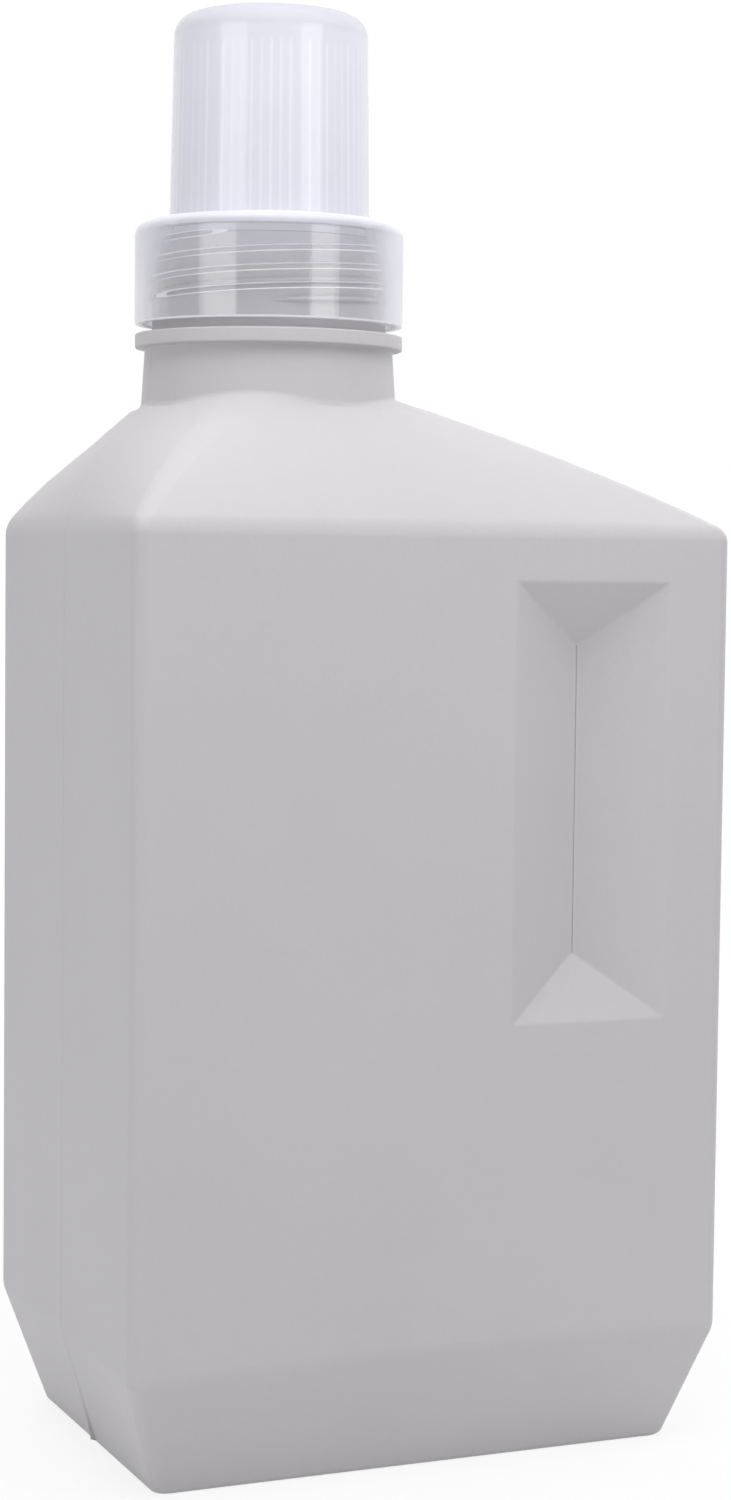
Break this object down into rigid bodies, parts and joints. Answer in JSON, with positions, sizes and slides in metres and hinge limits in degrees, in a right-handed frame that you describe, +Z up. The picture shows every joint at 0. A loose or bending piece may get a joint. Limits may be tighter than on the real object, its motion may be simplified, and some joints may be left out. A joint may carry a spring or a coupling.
{
  "type": "detergent bottle with measuring cap",
  "caption": "Hollow blow-moulded detergent bottle with off-centre round neck, finger recesses, pour spout and a translucent screw-on measuring cap.",
  "frame": {"origin": "under the middle of the base, on the surface that the bottle stands on", "axes": "+Z up along the neck, +X along the width away from the neck's side, -Y towards the front wall"},
  "size_m": [0.103, 0.071, 0.2345],
  "materials": {
    "bottle_wall": "opaque grey, fine mould grain",
    "spout_plastic": "natural milky white, satin",
    "cap_plastic": "translucent milky, glossy"
  },
  "bodies": {
    "bottle": {"bottle": "bottle_wall", "pouring_spout": "spout_plastic"},
    "cap": {"measuring_cap": "cap_plastic"}
  },
  "joints": [
    {"name": "cap_lift", "type": "slide", "parent": "bottle", "child": "cap", "axis": [0, 0, 1], "range_m": [0, 0.045]}
  ]
}
